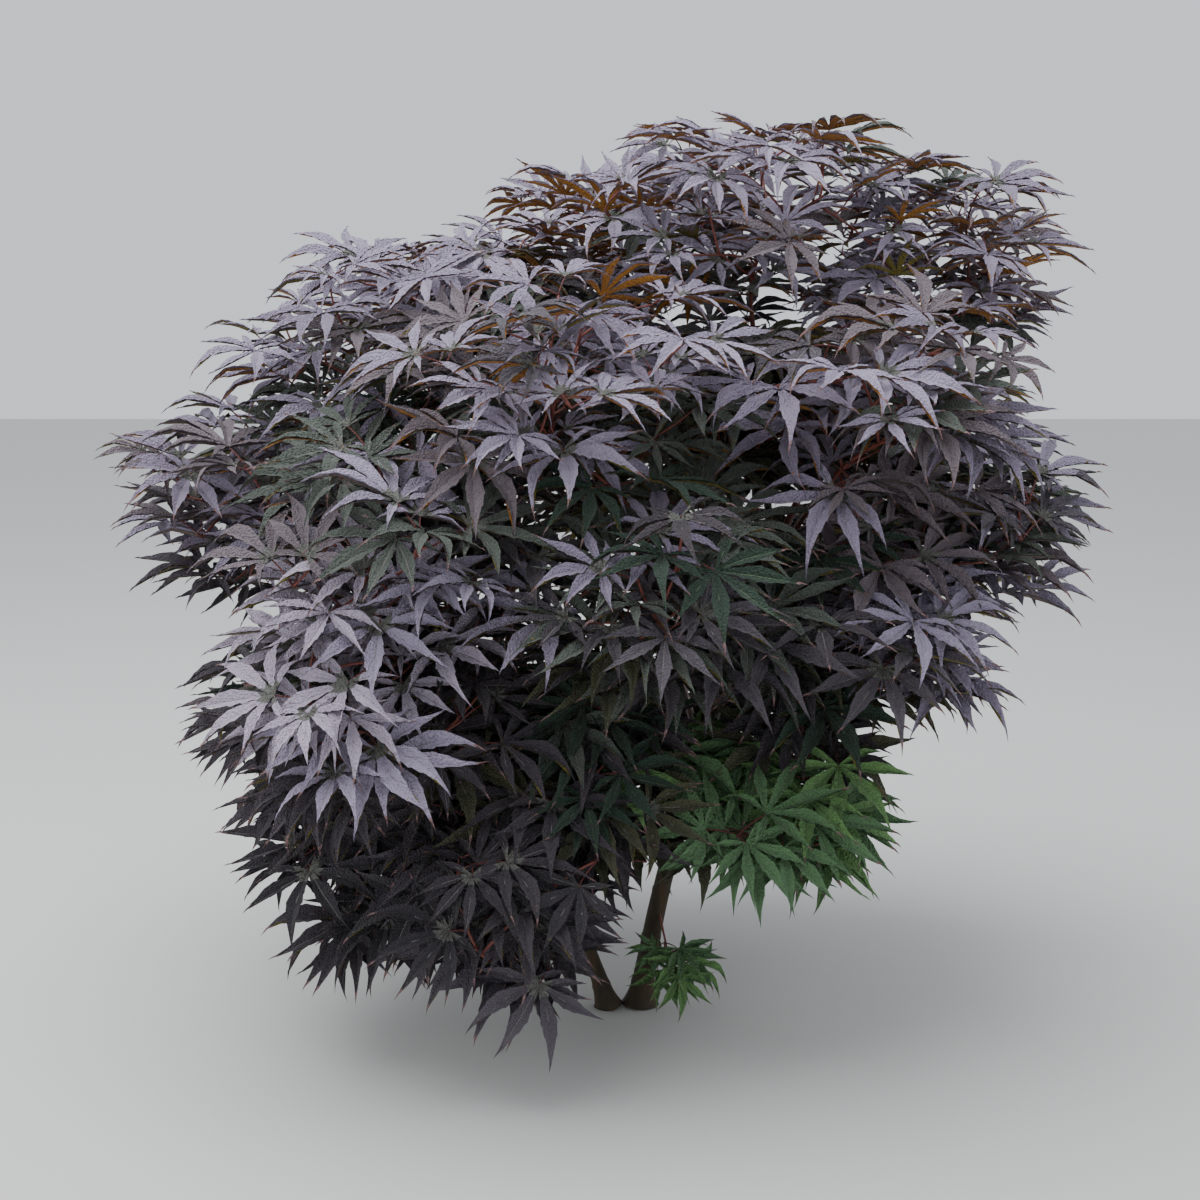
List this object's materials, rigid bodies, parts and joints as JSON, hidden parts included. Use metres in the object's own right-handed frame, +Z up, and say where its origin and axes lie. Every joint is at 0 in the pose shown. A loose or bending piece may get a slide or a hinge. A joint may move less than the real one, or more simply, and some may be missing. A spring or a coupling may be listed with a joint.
{
  "type": "purple japanese maple shrub",
  "caption": "Young purple-leaved japanese maple shrub rooted in the ground, slender stems under a broad, layered crown of deeply cut leaves.",
  "frame": {"origin": "middle of the flat cut under the main stem, on level ground", "axes": "+Z up, -Y towards the front as seen in the picture, +X to the right"},
  "size_m": [0.8822, 0.8387, 0.8061],
  "materials": {
    "old_bark": "dull dark olive-brown bark, reddish at the foot",
    "young_bark": "smooth satin red-brown young bark",
    "purple_leaves": "soft satin purple leaves, dusty lilac where lit",
    "lit_leaves": "dusty lilac-grey leaf tops",
    "green_leaves": "satin green leaves with paler veins"
  },
  "bodies": {
    "root": {"bough_back": "young_bark", "bough_back_left": "young_bark", "bough_back_right": "young_bark", "bough_drape_front": "young_bark", "bough_drape_left": "young_bark", "bough_front": "young_bark", "bough_front_left": "young_bark", "bough_front_right": "young_bark", "bough_inner_middle": "young_bark", "bough_left": "young_bark", "bough_low_back_left": "young_bark", "bough_low_back_right": "young_bark", "bough_low_front": "young_bark", "bough_low_front_left": "young_bark", "bough_low_front_right": "young_bark", "bough_low_left": "young_bark", "bough_right": "young_bark", "bough_top_back": "young_bark", "bough_top_front": "young_bark", "bough_top_right": "young_bark", "bough_upper_back_left": "young_bark", "bough_upper_back_right": "young_bark", "bough_upper_front": "young_bark", "bough_upper_front_right": "young_bark", "bough_upper_left": "young_bark", "bough_upper_middle": "young_bark", "foliage_back": "purple_leaves", "foliage_back_left": "purple_leaves", "foliage_back_right": "purple_leaves", "foliage_base_tuft": "green_leaves", "foliage_drape_front": "purple_leaves", "foliage_drape_left": "purple_leaves", "foliage_front": "purple_leaves", "foliage_front_left": "lit_leaves", "foliage_front_right": "purple_leaves", "foliage_inner_middle": "purple_leaves", "foliage_left": "purple_leaves", "foliage_low_back_left": "purple_leaves", "foliage_low_back_right": "purple_leaves", "foliage_low_front": "purple_leaves", "foliage_low_front_left": "purple_leaves", "foliage_low_front_right": "green_leaves", "foliage_low_left": "purple_leaves", "foliage_right": "purple_leaves", "foliage_top_back": "purple_leaves", "foliage_top_front": "purple_leaves", "foliage_top_right": "purple_leaves", "foliage_upper_back_left": "purple_leaves", "foliage_upper_back_right": "purple_leaves", "foliage_upper_front": "purple_leaves", "foliage_upper_front_right": "purple_leaves", "foliage_upper_left": "purple_leaves", "foliage_upper_middle": "purple_leaves", "left_stem": "old_bark", "main_stem": "old_bark"}
  },
  "joints": []
}
